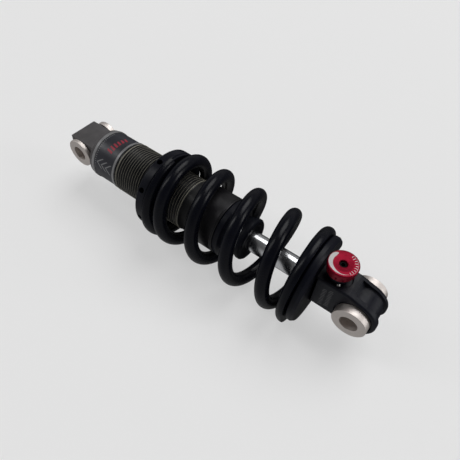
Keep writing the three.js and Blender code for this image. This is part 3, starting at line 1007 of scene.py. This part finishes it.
plate_low, plate_high = span("click_plate")
click = lathe(
    "click_plate_ring",
    "z",
    [
        (plate_low.z, 2.75),
        (plate_low.z, 4.7),
        (plate_high.z - 0.4, 4.9),
        (plate_high.z, 4.7),
        (plate_high.z, 2.75),
    ],
    "black_body",
    96,
    0.15,
    (KNOB_X, 0, 0),
)
settle(click, "rebound_knob", "painted_steel", "click_plate")
screw_low, screw_high = span("knob_screw")
# The screw head takes the painted-shade black of the hole it sits at the bottom of
screw = lathe(
    "knob_screw_head",
    "z",
    [
        (screw_low.z, 0),
        (screw_low.z, 1.45),
        (screw_high.z, 1.45),
        (screw_high.z, 0.85),
        (18.2, 0.8),
        (18.2, 0),
    ],
    "hole_shade_black",
    48,
    0.1,
    (KNOB_X, 0, 0),
)
settle(screw, "rebound_knob", "painted_steel", "knob_screw")
ball_low, ball_high = span("detent_ball")
ball_at = (ball_low + ball_high) / 2
half_circle = [(-math.cos(math.pi * i / 24), math.sin(math.pi * i / 24), 0.0) for i in range(1, 24)]
ball = lathe(
    "click_ball",
    "z",
    [(-1.0, 0, 0.0)] + half_circle + [(1.0, 0, 0.0)],
    "steel",
    48,
    0.0,
    ball_at,
)
settle(ball, "shaft", "steel", "detent_ball")

# ---- Nodes that are shown as packed --------------------------------------------------------------
slot_looks = {
    "dark_anodised": "blasted_grey",
    "steel": "steel",
    "rubber": "rubber",
    "black_anodised": "black_body",
    "print": "label",
    "brass": "brass",
    "bare_alloy": "alloy",
    "painted_steel": "spring_paint",
    "chrome": "chrome",
    "polymer": "polymer",
    "red_anodised": "red",
}
for part in frame["record"]["subparts"]:
    node = frame["nodes"][part["node"]]
    node.data.materials.clear()
    node.data.materials.append(looks[slot_looks[part["material_slot"]]])
    node.data.shade_smooth()
    node.data.set_sharp_from_angle(angle=math.radians(35))

# ---- Floor, light and camera ---------------------------------------------------------------------
FLOOR_Z = cad_box[0].z - 0.0002
FLOOR_HALF = 6
FLOOR_GLOW = 0.487
floor = bpy.data.objects.new("floor", bpy.data.meshes.new("floor"))
corners = [(x * FLOOR_HALF, y * FLOOR_HALF, FLOOR_Z) for x, y in ((-1, -1), (1, -1), (1, 1), (-1, 1))]
floor.data.from_pydata(corners, [], [(0, 1, 2, 3)])
bpy.context.scene.collection.objects.link(floor)
paper = Nodes("pale_floor")
grain = paper.noise(paper.add("ShaderNodeTexCoord").outputs["Object"], 900.0, 2.0)
greys = [(level, level, level, 1) for level in (0.395, 0.405)]
paper.put(paper.shader.inputs["Base Color"], paper.mix(grain, *greys))
paper.shader.inputs["Emission Color"].default_value = (1.0, 1.0, 1.0, 1.0)
paper.shader.inputs["Emission Strength"].default_value = FLOOR_GLOW
paper.shader.inputs["Roughness"].default_value = 0.9
paper.shader.inputs["Specular IOR Level"].default_value = 0.1
floor.data.materials.append(paper.material)
floor.visible_glossy = False

scene = bpy.context.scene
world = bpy.data.worlds.new("studio")
scene.world = world
world.use_nodes = True
sky = world.node_tree
background = sky.nodes["Background"]
background.inputs["Color"].default_value = (1.0, 1.0, 1.0, 1.0)


def sky_node(kind, inputs, **settings):
    """Adds one node to the world, with its inputs set or linked."""
    node = sky.nodes.new(kind)
    for key, value in settings.items():
        setattr(node, key, value)
    for key, value in inputs.items():
        if isinstance(value, bpy.types.NodeSocket):
            sky.links.new(value, node.inputs[key])
        else:
            node.inputs[key].default_value = value
    return node


# The world is pale on the near side low down, darker behind and dim above; straight to the camera
# it is the floor's own grey
SEEN_LEVEL = 0.76
direction = sky_node("ShaderNodeTexCoord", {}).outputs["Generated"]
axes = sky_node("ShaderNodeSeparateXYZ", {0: direction}).outputs


def graded(value, low, high, to_low, to_high):
    inputs = {"Value": value, "From Min": low, "From Max": high}
    inputs |= {"To Min": to_low, "To Max": to_high}
    return sky_node("ShaderNodeMapRange", inputs).outputs["Result"]


below = graded(axes["Y"], -0.4, 0.5, 0.36, 0.05)
above = graded(axes["Z"], 0.1, 0.6, 0.34, 0.1)
rising = graded(axes["Z"], -0.15, 0.25, 0.0, 1.0)
around = sky_node("ShaderNodeMix", {0: rising, 2: below, 3: above}, data_type="FLOAT").outputs[0]
seen = sky_node("ShaderNodeLightPath", {}).outputs["Is Camera Ray"]
level = sky_node("ShaderNodeMix", {0: seen, 2: around, 3: SEEN_LEVEL}, data_type="FLOAT").outputs[0]
sky.links.new(level, background.inputs["Strength"])


def aim(thing, place, target):
    thing.location = Vector(place)
    thing.rotation_mode = "QUATERNION"
    thing.rotation_quaternion = (Vector(target) - Vector(place)).to_track_quat("-Z", "Y")


def lamp(name, place, target, strength, size):
    light = bpy.data.lights.new(name, "AREA")
    light.energy = strength
    light.shape = "RECTANGLE"
    light.size, light.size_y = size
    thing = bpy.data.objects.new(name, light)
    scene.collection.objects.link(thing)
    aim(thing, place, target)


# Each lamp's place, power and size at one metre; all stand FAR times as far off, and look the same
centre = (cad_box[0] + cad_box[1]) / 2
FAR = 1.9
for name, place, power, size in (
    ("key", (0.1, 1.1, 1.9), 24.0, (1.5, 1.5)),
    ("left_fill", (-1.5, -0.6, 1.5), 9.0, (0.4, 1.5)),
    ("right_rim", (1.75, 0.8, 0.6), 9.0, (0.35, 1.4)),
):
    width, height = (FAR * s for s in size)
    lamp(name, centre + FAR * Vector(place), centre, power * FAR**2, (width, height))

camera = bpy.data.objects.new("camera", bpy.data.cameras.new("camera"))
scene.collection.objects.link(camera)
camera.data.sensor_width = 36.0
camera.data.lens = 32.99
camera.data.clip_start = 0.01
CAMERA_AT = Vector((167.347, -106.172, 159.454)) * MM
AZIMUTH, ELEVATION, ROLL = (math.radians(a) for a in (33.971, 51.643, 3.828))
back = Vector(
    (
        math.sin(AZIMUTH) * math.cos(ELEVATION),
        -math.cos(AZIMUTH) * math.cos(ELEVATION),
        math.sin(ELEVATION),
    )
)
right = Vector((math.cos(AZIMUTH), math.sin(AZIMUTH), 0))
up = back.cross(right)
tilted = right * math.cos(ROLL) + up * math.sin(ROLL)
upright = up * math.cos(ROLL) - right * math.sin(ROLL)
turn = Matrix((tilted, upright, back)).transposed().to_4x4()
camera.matrix_world = Matrix.Translation(CAMERA_AT) @ turn
scene.camera = camera
scene.view_settings.view_transform = "Standard"

bpy.context.view_layer.update()
